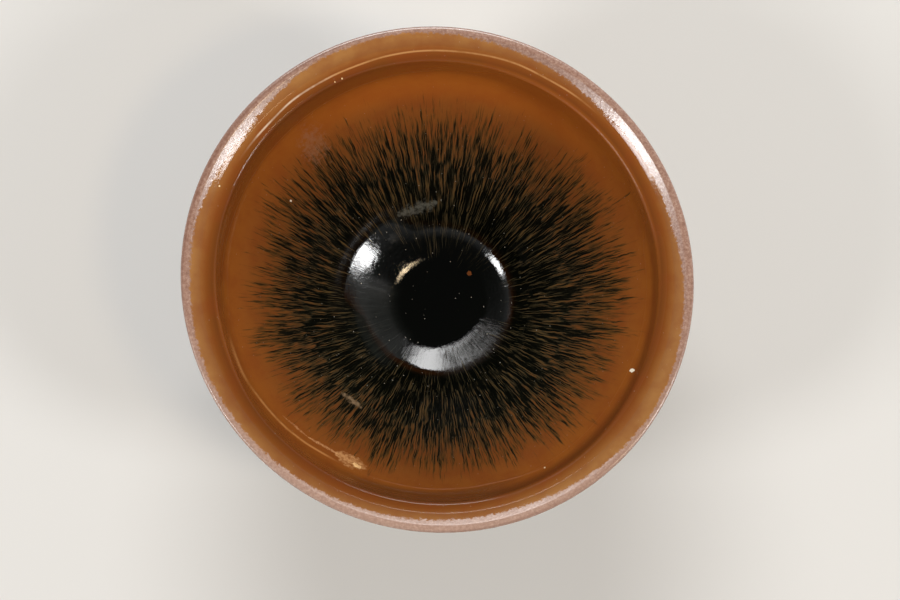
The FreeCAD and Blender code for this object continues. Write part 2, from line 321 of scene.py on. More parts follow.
CLAY_BROWNS = ((0.3, colour(52, 38, 31)), (0.5, colour(74, 54, 43)), (0.72, colour(96, 70, 54)))
burnt_grit = colour(36, 27, 23)
TURNING_RINGS = 3800
ring_depth = 0.02 * mm
grit_depth = 0.06 * mm


def fired_clay():
    """Dark stoneware: burnt brown-black, patchy, with fine grit and the rings of turning."""
    clay = Finish("fired_clay")
    patches = clay.grain(clay.place, 90, 3)
    grit = clay.grain(clay.place, 2400, 2)
    height = clay.node("ShaderNodeSeparateXYZ", {"Vector": clay.place}).outputs["Z"]
    rings = clay.maths("SINE", clay.times(height, TURNING_RINGS))
    base = clay.mix(clay.rise(grit, 0.58, 0.7), clay.ramp(patches, CLAY_BROWNS), burnt_grit)
    clay.put(clay.shader.inputs["Base Color"], base)
    clay.put(clay.shader.inputs["Roughness"], clay.rise(patches, 0.3, 0.7, 0.62, 0.82))
    clay.relief((rings, ring_depth), (grit, grit_depth))
    return clay.material


body = finish_piece("fired_clay_body", turned([
    well_middle, well_edge, belly, step, ridge, flare_foot, lip_slope_foot, lip_inner_edge, lip_outer_edge,
    lip_side_foot, groove, shoulder, belly_outside, heel, ledge_edge, ledge_root, foot_outer_edge,
    foot_inner_edge, recess_edge, recess_middle,
], closed=False), fired_clay())
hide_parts("stoneware_body")

# The glaze inside the bowl, in the coat on the wall and the pool in the well.
# An iron glaze that is rust brown where it is thin and black where it is thick. As it melted it ran down the
# wall in streaks like a hare's fur, and the pool that they fed filled the well.

thin_coat = 0.35 * mm
thick_coat = 0.6 * mm
INSIDE_SEAM_SHARE = 0.6


def along(first, second, share):
    """The point at that share of the way from one corner to the next, unrounded."""
    return tuple(a + (b - a) * share for a, b in zip(first[:2], second[:2])) + (0,)


def coated(corner, inwards, upwards=0.0):
    """The glaze's corner over a corner of the clay."""
    return (corner[0] - inwards, corner[1] + upwards, corner[2])


coat_belly = coated(belly, thick_coat, thick_coat)
coat_step = coated(step, thin_coat, thin_coat)
coat_ridge = coated(ridge, thin_coat, thin_coat)
coat_flare_foot = coated(flare_foot, thin_coat, thin_coat)
coat_lip_slope = coated(lip_slope_foot, lip_coat, lip_coat)
pool_seam_clay = along(well_edge, belly, 0.4)
pool_seam_top = along(pool_shelf, coat_belly, 0.3)
inside_seam_clay = along(flare_foot, lip_slope_foot, INSIDE_SEAM_SHARE)
inside_seam_top = along(coat_flare_foot, coat_lip_slope, INSIDE_SEAM_SHARE)

# Down the wall: each row is a place, as a share of the mouth's radius, and the colour or the number there.
# FUR_LEVELS says how high the fur has to stand for the ground to show, BACK_LIFTS how much nearer the lip the
# fur behind counts as lying, and DULLNESS how rough the glaze is.
# The darker stop at 0.882 in GROUND_COLOURS is painted shade in the steep band at the ridge.
GROUND_COLOURS = (
    (0.30, colour(76, 70, 50)), (0.48, colour(102, 80, 46)), (0.60, colour(114, 76, 38)),
    (0.70, colour(131, 77, 34)), (0.79, colour(151, 87, 36)), (0.856, colour(160, 91, 33)),
    (0.882, colour(114, 63, 25)), (0.905, colour(133, 75, 30)), (0.93, colour(155, 99, 50)),
    (0.96, colour(176, 122, 67)),
)
FUR_BLACKS = ((0.45, colour(5, 7, 4)), (0.64, colour(13, 14, 9)), (0.78, colour(42, 31, 16)))
FUR_HALF_TONES = ((0.55, colour(50, 46, 32)), (0.72, colour(82, 58, 28)))
FUR_LEVELS = (
    (0.22, 0.80), (0.28, 0.61), (0.38, 0.57), (0.62, 0.515), (0.73, 0.43), (0.83, 0.24), (0.9, 0.0),
)
BACK_LIFTS = ((0.36, 0.06), (0.5, 0.02))
DULLNESS = (
    (0.34, 0.03), (0.42, 0.19), (0.66, 0.17), (0.78, 0.09), (0.855, 0.1), (0.865, 0.32), (0.873, 0.12),
    (0.88, 0.09),
)

# Bands down the wall, in the same shares: where each starts, is full, is still full and ends.
POOL_WALL = (0.16, 0.24, 0.36, 0.48)
BRIGHT_STEP = (0.76, 0.82, 0.855, 0.875)
SHADED_STEP = (0.825, 0.845, 0.87, 0.885)
QUIET_CREASE = (0.835, 0.85, 0.89, 0.915)

# Rises down the wall, in the same shares: where each starts and is full.
WIDE_SHELF_WALL = (0.40, 0.46)
FUR_CONTRAST_FALL = (0.45, 0.72)
RED_WALL = (0.4, 0.6)
HAZE_AND_SHEEN_FALL = (0.35, 0.385)
SPECK_FALL = (0.36, 0.6)
VEIL_START = (0.3, 0.34)
POOL_SHINE_EDGE = (0.318, 0.336)
WELL_RIDGES = (0.16, 0.22)
WALL_RIDGES = (0.33, 0.44)
RIDGES_END = (0.72, 0.84)

# Sides where the glaze, and the light and shade painted on it, differ: the direction to each from the
# bowl's middle, and between which cosines of the angle to that direction it comes in.
FRONT = ((0, -1, 0), -0.1, 0.9)
FRONT_MIDDLE = ((0, -1, 0), 0.86, 0.985)
DARKENING_SIDE = ((0.1, -0.99, 0), -1.0, 0.8)
RIGHT = ((1, 0, 0), 0.5, 0.95)
BACK = ((0, 1, 0), 0.3, 0.95)
FUR_BACK = ((0.1, 0.99, 0), 0.5, 0.95)
SHELF_SIDE = ((-0.89, 0.45, 0), 0.72, 0.94)
HAZE_AND_SHEEN_SIDE = ((-0.95, -0.3, 0), 0.7, 0.92)
SCUM_SIDE = ((0.62, -0.785, 0), 0.7, 0.97)
QUIET_SIDE = ((0.87, -0.49, 0), 0.66, 0.78)
RIDGE_GLINT_SIDE = ((-0.34, -0.94, 0), 0.58, 0.7)
RIDGE_GLINT_GAP = ((-0.36, -0.933, 0), 0.984, 0.998)
GOLDEN_SIDE = ((-0.85, -0.53, 0), 0.7, 0.87)
GLINT_SIDE = ((-0.17, 0.985, 0), 0.6, 0.78)
GLINT_END = ((-0.76, 0.65, 0), 0.93, 0.99)

# Noises in the glaze: the scale, the detail and the roughness of each.
PATCHES = (160, 3, 0.6)
CLUMPS = (6, 3, 0.65)
WANDER = (2.5, 1)
SPECKLE = (1500, 4, 0.7)
MARK_GRAINS = (1500, 2)
GLEAM_GRAINS = (850, 5, 0.8)
LIP_GRAINS = (1100, 4, 0.75)
SLOW_WAVES = (130, 2)
FINE_WAVES = (1400, 3)
SWAY_SCALE = 260
SPECK_SCALE = 640

# The fur: how much a step outwards and a step upwards count along the slope, its two layers of streak, each
# with its fineness, length, detail and part of the whole, and how many streaks lie round the bowl from the
# pool up, and then from where to where more of them take over.
SLOPE = (0.64, 0.77)
STREAK_LAYERS = ((1.0, 10.5 * mm, 1.0, 0.35), (2.1, 6.6 * mm, 2.0, 0.65))
STREAK_ROUGHNESS = 0.62
STREAK_DISTORTION = 0.35
streak_sway = 0.35 * mm
LOW_STREAKS = 38
UPPER_STREAKS = ((46, 29.4 * mm, 30.2 * mm), (55, 39.8 * mm, 41.2 * mm))
count_raggedness = 12.0 * mm
CLUMP_SHIFT = 0.11
WIDE_SHELF_SHIFT = 0.1
RIGHT_SHIFT = 0.03
LOW_CONTRAST = 1.3
HIGH_CONTRAST = 0.95
HAIR_EDGE = (-0.12, 0.16)
outside_fur_foot = 19.0 * mm
OUTSIDE_FOOT_SHARE = 0.34

# What tints the ground between the streaks, and how strongly: red patches, a darkening towards the front,
# painted shade over the steep band in front, painted light over the step behind and a painted grey sheen.
red_patch = colour(134, 62, 28)
RED_STRENGTH = 0.35
# A dark brown mixed in more and more towards the front, so the ground is darker there.
front_darkening = colour(30, 20, 10)
DARKENING_STRENGTH = 0.21
front_shade = colour(62, 44, 32)
SHADE_STRENGTH = 0.36
# Painted light: a brighter rust laid over the step behind, where it lies in shade.
painted_step_light = colour(182, 96, 30)
STEP_LIGHT_STRENGTH = 0.4
# A painted grey sheen: a reflection laid as colour over the pool's left side.
painted_grey_sheen = colour(46, 50, 48)

# The fine ridge low on the steep band and the painted glint along it: each row is a place round the bowl, in
# turns from the right, and how far out the line lies there, from 0 at the first of its radii to 1 at the
# second.
# Its widths and strengths are for rust and gold.
RIDGE_GLINT_LINE = (
    (0.0, 0.84), (0.578, 0.86), (0.597, 0.76), (0.633, 0.62), (0.652, 0.5), (0.67, 0.4), (0.69, 0.4),
    (0.717, 0.42), (0.75, 0.47), (0.783, 0.51), (0.806, 0.57), (0.844, 0.82), (1.0, 0.84),
)
RIDGE_GLINT_RADII = (48.0 * mm, 53.0 * mm)
RIDGE_GLINT_WIDTHS = (0.24 * mm, 0.36 * mm)
RIDGE_GLINT_STRENGTHS = (0.32, 0.57)
ridge_glint_core = 0.04 * mm
ridge_glint_sway = 0.2 * mm
# The fine ridge is real relief; its pale rust and gold line is a painted highlight.
ridge_glint_rust = colour(186, 124, 90)
ridge_glint_gold = colour(212, 150, 88)

# A painted glint along the ledge behind: a golden line that stands for a highlight there.
glint_line_radius = mouth_radius - 4.85 * mm
glint_line_core = 0.05 * mm
glint_line_width = 0.34 * mm
glint_line_sway = 1.4 * mm
GLINT_STRENGTH = 0.7
glint_gold = colour(206, 152, 96)
glint_pale = colour(250, 226, 196)

# Grains that came through the glaze: what share of a cell each takes, and which cells have one.
SPECK_EDGE = (0.03, 0.1)
SPECK_CHANCE = (0.36, 0.62)
speck_white = colour(246, 238, 222)

# A white bead, a few dots and a rust fleck in the pool: how far across and back from the middle each lies and
# its radius, in mm, and its colour.
BLEMISHES = (
    (48.5, -19.3, 0.56, colour(255, 246, 222)), (-38.4, 20.8, 0.3, colour(250, 236, 210)),
    (-27.1, 46.5, 0.22, colour(236, 196, 140)), (-25.4, 47.4, 0.24, colour(240, 206, 150)),
    (-53.4, 19.4, 0.24, colour(250, 226, 180)), (28.2, -43.9, 0.22, colour(220, 190, 150)),
    (7.9, 8.6, 0.72, colour(150, 88, 44)),
)
BLEMISH_CORE = 0.75
BLEMISH_UNEVENNESS = (0.4, 1.7)

# Painted highlights and reflections, drawn as smears: the two ends of each and its width, in mm, its colour and
# its strength.
PAINTED_GLEAMS = (
    ((-22.8, -42.6), (-15.5, -46.2), 0.5, colour(210, 156, 102), 0.8),
    ((-18.5, -45.0), (-16.7, -46.0), 0.3, colour(255, 210, 146), 0.9),
    ((-36.3, -34.2), (-29.9, -39.1), 0.016, colour(200, 144, 96), 0.6),
    ((-29.9, -39.1), (-22.4, -42.9), 0.024, colour(216, 160, 108), 0.75),
    ((-12.0, 22.4), (-1.6, 26.0), 0.36, colour(128, 128, 118), 0.62),
    ((-32.5, 32.0), (-33.2, 36.5), 3.4, colour(166, 120, 92), 0.45),
    ((-23.5, -26.4), (-18.1, -30.3), 0.16, colour(156, 130, 100), 0.7),
)
GLEAM_BREAKS = 8.0
GLEAM_EDGE = (3.2, 5.5)

# The mauve lip: its colours from grain to grain, and how far it reaches inwards, in turns from the right and
# in shares of its greatest reach.
LIP_COLOURS = ((0.34, colour(142, 104, 86)), (0.5, colour(164, 126, 108)), (0.68, colour(190, 156, 138)))
LIP_WIDTHS = (
    (0.0, 0.44), (0.04, 0.7), (0.11, 0.82), (0.14, 0.83), (0.21, 0.56), (0.275, 0.27), (0.34, 0.25),
    (0.405, 0.62), (0.475, 0.36), (0.51, 0.43), (0.57, 0.4), (0.64, 0.56), (0.68, 0.63), (0.77, 0.63),
    (0.81, 0.57), (0.875, 0.28), (0.91, 0.14), (0.94, 0.16), (1.0, 0.44),
)
lip_reach = 5.0 * mm
lip_raggedness = 2.4 * mm
LIP_EDGE = (mouth_radius + 1.0 * mm, mouth_radius + 1.5 * mm)
outside_lip_raggedness = 3.0 * mm
OUTSIDE_LIP_EDGE = (59.4 * mm, 61.4 * mm)
# A paler mauve painted over the lip in front stands for its highlight there.
painted_lip_sheen = colour(200, 174, 158)
LIP_SHEEN_STRENGTH = 0.3
brim_brown = colour(118, 74, 52)
BRIM_EDGE = (mouth_radius - 0.7 * mm, mouth_radius - 0.2 * mm)
BRIM_STRENGTH = 0.5
FRONT_BRIM = 0.6
RIGHT_BRIM = 0.4

# How the surface shines, on the lip behind and in front, and how deep its relief goes.
LIP_SHINE = (0.5, 0.22)
LIP_FOOT_SHINE = (0.2, 0.08)
SHINE = 0.5
POOL_EDGE_SHINE = 0.15
SCUM_SHINE = 0.6
CLOUD_DULLNESS = 0.17
QUIET_DULLNESS = 0.4
LIP_DULLNESS = 0.17
slow_wave_depth = 0.1 * mm
fine_wave_depth = 0.024 * mm
fine_ridge_depth = 0.06 * mm
fur_depth = 0.2 * mm
lip_grain_depth = 0.016 * mm


class IronGlaze(Finish):
    """The iron glaze, from the mauve lip down through rust and fur to black, inside or outside the bowl."""

    def __init__(self, name, outside):
        super().__init__(name)
        self.outside = outside
        self.flat = self.vector("MULTIPLY", self.place, (1, 1, 0))
        self.radius = self.vector("LENGTH", self.flat, output="Value")
        self.heading = self.vector("NORMALIZE", self.flat)
        self.height = self.node("ShaderNodeSeparateXYZ", {"Vector": self.place}).outputs["Z"]
        if outside:
            self.share = self.rise(self.height, outside_fur_foot, bowl_height, OUTSIDE_FOOT_SHARE,
                                   how="LINEAR")
        else:
            self.share = self.maths("DIVIDE", self.radius, mouth_radius)
        self.patches = self.grain(self.place, *PATCHES)
        self.clumps = self.grain(self.heading, *CLUMPS)
        self.speckle = self.grain(self.place, *SPECKLE)
        self.front = self.towards(FRONT)
        self.right = self.towards(RIGHT)
        self.shelf = self.times(self.towards(SHELF_SIDE),
                                self.rise(self.share, *WIDE_SHELF_WALL, WIDE_SHELF_SHIFT, 0.0))
        self.share_off_shelf = self.maths("SUBTRACT", self.share, self.shelf)
        self.pool_wall = self.band(POOL_WALL)
        self.scum = self.times(self.towards(SCUM_SIDE), self.pool_wall)
        # Over the pool's left side the glaze is duller and carries a painted grey sheen.
        self.haze_and_sheen = self.times(self.towards(HAZE_AND_SHEEN_SIDE), self.pool_wall,
                               self.rise(self.share, *HAZE_AND_SHEEN_FALL, 1.0, 0.2))

    def towards(self, side, low=0.0, high=1.0):
        """A rise from low to high round the bowl, towards one of its sides."""
        direction, start, full = side
        facing = self.vector("DOT_PRODUCT", self.heading, direction, output="Value")
        return self.rise(facing, start, full, low, high)

    def band(self, shares, strength=1.0):
        """A band down the wall, at its strength where it is full and fading out on both sides."""
        start, full, still, end = shares
        return self.times(self.rise(self.share, start, full),
                          self.rise(self.share, still, end, strength, 0.0))

    def around(self, stops, how="LINEAR"):
        """The number round the bowl, between stops of place, in turns from the right, and number."""
        way = self.node("ShaderNodeSeparateXYZ", {"Vector": self.heading})
        turn = self.maths("DIVIDE", self.maths("ARCTAN2", way.outputs["Y"], way.outputs["X"]), math.tau)
        return self.levels(self.maths("FRACT", turn), stops, how)

    def line(self, radius, middle, core, width, strength=1.0):
        """A line round the bowl at a radius, solid in its core and fading out at its width."""
        away = self.maths("ABSOLUTE", self.maths("SUBTRACT", radius, middle))
        return self.rise(away, core, width, strength, 0.0)

    def streaks(self, heading, run, count):
        """Noise drawn out down the slope into long streaks, with finer hairs among them."""
        hairs = []
        for fineness, length, detail, part in STREAK_LAYERS:
            fall = self.node("ShaderNodeCombineXYZ", {"Z": self.maths("DIVIDE", run, length)})
            across = (count * fineness, count * fineness, 0)
            spot = self.vector("MULTIPLY_ADD", heading, across, fall.outputs["Vector"])
            hair = self.grain(spot, 1.0, detail, STREAK_ROUGHNESS, STREAK_DISTORTION)
            hairs.append(self.times(hair, part))
        return self.maths("ADD", *hairs)

    def fur(self):
        """The height of the streaks, in three counts, for they keep their width as the bowl widens."""
        outwards, upwards = SLOPE
        run = self.maths("ADD", self.times(self.radius, outwards), self.times(self.height, upwards))
        sway = self.node("ShaderNodeTexNoise", {"Vector": self.place, "Scale": SWAY_SCALE, "Detail": 2})
        reach = (2 * streak_sway, 2 * streak_sway, 0)
        swayed = self.vector("MULTIPLY_ADD", sway.outputs["Color"], reach, self.flat)
        swayed = self.vector("SUBTRACT", swayed, (streak_sway, streak_sway, 0))
        heading = self.vector("NORMALIZE", swayed)
        ragged = self.maths("MULTIPLY_ADD", self.clumps, count_raggedness, self.radius)
        fur = self.streaks(heading, run, LOW_STREAKS)
        for count, start, full in UPPER_STREAKS:
            fur = self.mix(self.rise(ragged, start, full), fur, self.streaks(heading, run, count))
        return fur

    def hair(self, fur):
        """How far the ground shows between the streaks, from 0 in the black to 1."""
        line = self.maths("ADD", self.share_off_shelf, self.blend(self.clumps, -CLUMP_SHIFT, CLUMP_SHIFT))
        line = self.maths("SUBTRACT", line, self.times(self.right, RIGHT_SHIFT))
        line = self.maths("MULTIPLY_ADD", self.towards(FUR_BACK), self.levels(self.share, BACK_LIFTS), line)
        above = self.maths("SUBTRACT", fur, self.levels(line, FUR_LEVELS))
        contrast = self.rise(self.share, *FUR_CONTRAST_FALL, LOW_CONTRAST, HIGH_CONTRAST)
        return self.rise(self.times(above, contrast), *HAIR_EDGE)

    def ground(self):
        """The colour between the streaks: dim olive near the pool, then rust with painted shade at the ridge,
        and tan where the coat thins below the lip, redder in patches, darker towards the front, with painted
        shade over the steep band in front and painted light over the step behind."""
        ground = self.ramp(self.share, GROUND_COLOURS)
        redder = self.times(self.rise(self.patches, 0.35, 0.7, 0.0, RED_STRENGTH),
                            self.rise(self.share, *RED_WALL, 0.4, 1.0))
        ground = self.mix(redder, ground, red_patch)
        ground = self.mix(self.towards(DARKENING_SIDE, 0.0, DARKENING_STRENGTH), ground, front_darkening)
        shaded = self.times(self.band(SHADED_STEP, SHADE_STRENGTH), self.towards(FRONT_MIDDLE))
        ground = self.mix(shaded, ground, front_shade)
        step_light = self.times(self.towards(BACK, 0.0, STEP_LIGHT_STRENGTH), self.band(BRIGHT_STEP))
        return self.mix(step_light, ground, painted_step_light)

    def streaked(self, fur):
        """The colour of the wall, where black streaks fade through a half tone into the ground, and a painted
        grey sheen over the pool's left side."""
        hair = self.hair(fur)
        base = self.mix(self.rise(hair, 0.03, 0.45), self.ramp(self.share, FUR_BLACKS),
                        self.ramp(self.share, FUR_HALF_TONES))
        base = self.mix(self.rise(hair, 0.3, 1.0), base, self.ground())
        return self.mix(self.times(self.haze_and_sheen, self.blend(fur, -0.42, 1.38)), base, painted_grey_sheen)

    def ridge_and_glint_line(self, golden):
        """Where the fine ridge low on the steep band lies, with the painted glint along it, wider where it is
        golden.
        """
        ring = self.blend(self.around(RIDGE_GLINT_LINE, "CARDINAL"), *RIDGE_GLINT_RADII)
        sway = self.blend(self.grain(self.heading, *WANDER), -ridge_glint_sway, ridge_glint_sway)
        ring = self.maths("ADD", ring, sway)
        line = self.line(self.radius, ring, ridge_glint_core, self.blend(golden, *RIDGE_GLINT_WIDTHS))
        return self.times(line, self.towards(RIDGE_GLINT_SIDE), self.rise(self.patches, 0.35, 0.55, 0.3, 1.0),
                          self.towards(RIDGE_GLINT_GAP, 1.0, 0.1))

    def glint_line(self):
        """Where the painted glint along the ledge behind shows."""
        bent = self.maths("MULTIPLY_ADD", self.grain(self.heading, *WANDER), glint_line_sway, self.radius)
        line = self.line(bent, glint_line_radius, glint_line_core, glint_line_width, GLINT_STRENGTH)
        return self.times(line, self.towards(GLINT_SIDE), self.rise(self.patches, 0.3, 0.6, 0.3, 1.0))

    def lined(self, base, ridge_and_glint, golden):
        """The colour with the two painted glints over it, along the fine ridge and along the ledge behind."""
        base = self.mix(self.times(ridge_and_glint, self.blend(golden, *RIDGE_GLINT_STRENGTHS)), base,
                        self.mix(golden, ridge_glint_rust, ridge_glint_gold))
        return self.mix(self.glint_line(), base, self.mix(self.towards(GLINT_END), glint_gold, glint_pale))

    def specked(self, base):
        """The colour with tiny pale grains that came through the glaze, most of them low in the bowl."""
        cells = self.node("ShaderNodeTexVoronoi", {"Vector": self.place, "Scale": SPECK_SCALE})
        chance = self.vector("DOT_PRODUCT", cells.outputs["Color"], (1, 0, 0), output="Value")
        speck = self.times(self.rise(cells.outputs["Distance"], *SPECK_EDGE, 1.0, 0.0),
                           self.rise(chance, *SPECK_CHANCE), self.rise(self.share, *SPECK_FALL, 0.9, 0.15))
        return self.mix(speck, base, speck_white)

    def marked(self, base):
        """The colour with the bead, the dots and the fleck, and the painted highlights and reflections over it.
        """
        uneven = self.blend(self.grain(self.place, *MARK_GRAINS), *BLEMISH_UNEVENNESS)
        for across, back, size, shade in BLEMISHES:
            away = self.vector("DISTANCE", self.flat, (across * mm, back * mm, 0), output="Value")
            away = self.times(away, uneven)
            base = self.mix(self.rise(away, size * BLEMISH_CORE * mm, size * mm, 1.0, 0.0), base, shade)
        grains = self.grain(self.place, *GLEAM_GRAINS)
        for first, last, width, shade, strength in PAINTED_GLEAMS:
            ends = [self.vector("DISTANCE", self.flat, (x * mm, y * mm, 0), output="Value")
                    for x, y in (first, last)]
            spread = self.maths("SUBTRACT", self.maths("ADD", *ends), math.dist(first, last) * mm)
            spread = self.maths("DIVIDE", spread, width * mm)
            broken = self.maths("MULTIPLY_ADD", grains, GLEAM_BREAKS, spread)
            base = self.mix(self.rise(broken, *GLEAM_EDGE, strength, 0.0), base, shade)
        return base

    def lip(self):
        """Where the lip's band lies, with the broken edge from which the glaze drew away, and its colour, paler
        in front with a painted highlight.
        """
        mauve = self.ramp(self.speckle, LIP_COLOURS)
        mauve = self.mix(self.times(self.front, LIP_SHEEN_STRENGTH), mauve, painted_lip_sheen)
        edge = self.grain(self.place, *LIP_GRAINS)
        if self.outside:
            reach = self.maths("MULTIPLY_ADD", edge, outside_lip_raggedness, self.height)
            return self.rise(reach, *OUTSIDE_LIP_EDGE), mauve
        brim = self.times(self.rise(self.radius, *BRIM_EDGE, 0.0, BRIM_STRENGTH),
                          self.blend(self.front, 1.0, FRONT_BRIM), self.blend(self.right, 1.0, RIGHT_BRIM))
        mauve = self.mix(brim, mauve, brim_brown)
        reach = self.maths("MULTIPLY_ADD", edge, lip_raggedness, self.radius)
        reach = self.maths("MULTIPLY_ADD", self.around(LIP_WIDTHS), lip_reach, reach)
        return self.rise(reach, *LIP_EDGE), mauve

    def roughness(self, lip, quiet):
        """Glassy in the pool but for its veil and scum, dull on the fur, and grainy on the lip."""
        veil = self.times(self.rise(self.patches, 0.52, 0.6), self.rise(self.share, *VEIL_START),
                          self.pool_wall)
        clouded = self.maths("MAXIMUM", self.scum, self.maths("MAXIMUM", self.haze_and_sheen, veil))
        rough = self.levels(self.share_off_shelf, DULLNESS)
        rough = self.maths("MULTIPLY_ADD", clouded, CLOUD_DULLNESS, rough)
        rough = self.maths("MULTIPLY_ADD", quiet, QUIET_DULLNESS, rough)
        return self.maths("MULTIPLY_ADD", lip, LIP_DULLNESS, rough)

    def lip_shine(self, lip):
        """The shine of the lip's own piece, less in front and where the mauve ends."""
        return self.maths("MULTIPLY_ADD", lip, self.blend(self.front, *LIP_SHINE),
                          self.blend(self.front, *LIP_FOOT_SHINE))

    def shine(self, quiet, edge_shine):
        """The shine of the other pieces, less at the pool's edge, in the quiet crease and under the scum."""
        shine = self.rise(self.share_off_shelf, *POOL_SHINE_EDGE, SHINE, edge_shine)
        shine = self.maths("SUBTRACT", shine, self.times(shine, quiet))
        return self.times(shine, self.blend(self.scum, 1.0, SCUM_SHINE))

    def ridges(self, fur):
        """The fine ridges into which the fur draws the surface, which end at the pool and below the ledge."""
        depth = self.maths("MULTIPLY_ADD", self.rise(self.share, *WELL_RIDGES), 0.12,
                           self.rise(self.share_off_shelf, *WALL_RIDGES, 0.0, 0.88))
        depth = self.maths("MAXIMUM", depth, self.scum)
        return self.times(fur, depth, self.rise(self.share, *RIDGES_END, 1.0, 0.0))


def iron_glaze(name, coat, index):
    """The iron glaze of one coat: the pool's, the wall's, the lip's or the outside's. Its index of refraction
    is higher where more iron has come out of the glass, in the pool and on the lip."""
    glaze = IronGlaze(name, coat == "outside")
    fur = glaze.fur()
    base = glaze.streaked(fur)
    relief = [(glaze.grain(glaze.place, *SLOW_WAVES), slow_wave_depth),
              (glaze.grain(glaze.place, *FINE_WAVES), fine_wave_depth)]
    if coat == "outside":
        base = glaze.specked(base)
    else:
        golden = glaze.towards(GOLDEN_SIDE)
        ridge_and_glint = glaze.ridge_and_glint_line(golden)
        relief.append((ridge_and_glint, fine_ridge_depth))
        base = glaze.marked(glaze.specked(glaze.lined(base, ridge_and_glint, golden)))
    lip, mauve = glaze.lip()
    glaze.put(glaze.shader.inputs["Base Color"], glaze.mix(lip, base, mauve))
    quiet = glaze.times(glaze.towards(QUIET_SIDE, 0.0, 0.9), glaze.band(QUIET_CREASE))
    glaze.put(glaze.shader.inputs["Roughness"], glaze.roughness(lip, quiet))
    glaze.shader.inputs["IOR"].default_value = index
    if coat == "lip":
        shine = glaze.lip_shine(lip)
    else:
        shine = glaze.shine(quiet, POOL_EDGE_SHINE if coat == "pool" else SHINE)
    glaze.put(glaze.shader.inputs["Specular IOR Level"], shine)
    relief += [(glaze.ridges(fur), fur_depth), (glaze.times(glaze.speckle, lip), lip_grain_depth)]
    glaze.relief(*relief)
    return glaze.material


pool = finish_piece("well_pool", turned([
    pool_middle, pool_edge, pool_shelf, pool_seam_top, pool_seam_clay, well_edge, well_middle,
], closed=False), iron_glaze("pool_glaze", "pool", index=1.65))
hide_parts("well_glaze")

fur_coat = finish_piece("fur_coat", turned([
    pool_seam_top, coat_belly, coat_step, coat_ridge, coat_flare_foot, inside_seam_top,
    inside_seam_clay, flare_foot, ridge, step, belly, pool_seam_clay,
]), iron_glaze("fur_glaze", "wall", index=1.34))
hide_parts("inner_glaze")

# The glaze left over the lip.
# The same iron glaze, which ran down from the edge while it was molten and left a thin, rough, mauve-brown
# band over the top of the lip and down to the groove outside.

OUTSIDE_SEAM_SHARE = 0.4
coat_lip_inner = coated(lip_inner_edge, lip_coat, lip_coat)
coat_lip_outer = (mouth_radius, bowl_height, 0.7 * mm)
coat_lip_side = coated(lip_side_foot, -lip_coat)
coat_groove = coated(groove, -thin_coat)
outside_seam_clay = along(lip_side_foot, groove, OUTSIDE_SEAM_SHARE)
outside_seam_top = along(coat_lip_side, coat_groove, OUTSIDE_SEAM_SHARE)

lip_band = finish_piece("lip_band", turned([
    inside_seam_top, coat_lip_slope, coat_lip_inner, coat_lip_outer, coat_lip_side, outside_seam_top,
    outside_seam_clay, lip_side_foot, lip_outer_edge, lip_inner_edge, lip_slope_foot, inside_seam_clay,
]), iron_glaze("lip_glaze", "lip", index=1.8))
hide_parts("lip_glaze")

# The glaze outside, from the groove under the lip down to the roll in which it stopped above the bare foot.
# The same iron glaze, rust brown near the lip and black lower down, where it ran and gathered.

ROLL_SEAM_SHARE = 0.55
coat_shoulder = coated(shoulder, -thin_coat)
coat_belly_outside = coated(belly_outside, -thick_coat)
coat_heel = coated(heel, -thick_coat)
roll_seam_clay = along(belly_outside, heel, ROLL_SEAM_SHARE)
roll_seam_top = along(coat_belly_outside, coat_heel, ROLL_SEAM_SHARE)

outside_coat = finish_piece("outside_coat", turned([
    outside_seam_top, coat_groove, coat_shoulder, coat_belly_outside, roll_seam_top,
    roll_seam_clay, belly_outside, shoulder, groove, outside_seam_clay,
]), iron_glaze("outside_glaze", "outside", index=1.5))
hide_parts("outer_glaze")

# The roll in which the outside glaze stopped.
# Black glass, nearly 2 mm thick, that gathered as the glaze ran and froze in uneven lobes above the foot.

roll_out = 1.8 * mm
roll_sag = 0.9 * mm
wide_lobe = 1.6 * mm
small_lobe = 0.7 * mm
roll_foot_clay = along(belly_outside, heel, 0.8)
roll_crest_clay = along(belly_outside, heel, 0.7)
roll_crest = (roll_crest_clay[0] + roll_out, roll_crest_clay[1] - roll_sag, 2.8 * mm)
roll_foot = (roll_foot_clay[0] + roll_out, roll_foot_clay[1] - roll_sag, 1.1 * mm)
downhill = Vector((heel[0] - belly_outside[0], 0, heel[1] - belly_outside[1])).normalized()


THICK_BLACKS = ((0.35, colour(10, 11, 9)), (0.55, colour(16, 14, 10)), (0.75, colour(38, 24, 14)))
black_wave_depth = 0.15 * mm
pinhole_depth = 0.05 * mm


def black_glaze():
    """Thick glaze: glassy black, browner where it thins, with faint waves and a few pinholes."""
    glaze = Finish("black_glaze")
    patches = glaze.grain(glaze.place, 120, 3, 0.6)
    glaze.put(glaze.shader.inputs["Base Color"], glaze.ramp(patches, THICK_BLACKS))
    glaze.put(glaze.shader.inputs["Roughness"], glaze.rise(patches, 0.4, 0.7, 0.06, 0.16))
    glaze.shader.inputs["IOR"].default_value = 1.55
    cells = glaze.node("ShaderNodeTexVoronoi", {"Vector": glaze.place, "Scale": 420})
    pinhole = glaze.rise(cells.outputs["Distance"], 0.05, 0.12)
    glaze.relief((glaze.grain(glaze.place, 220, 2), black_wave_depth), (pinhole, pinhole_depth))
    return glaze.material


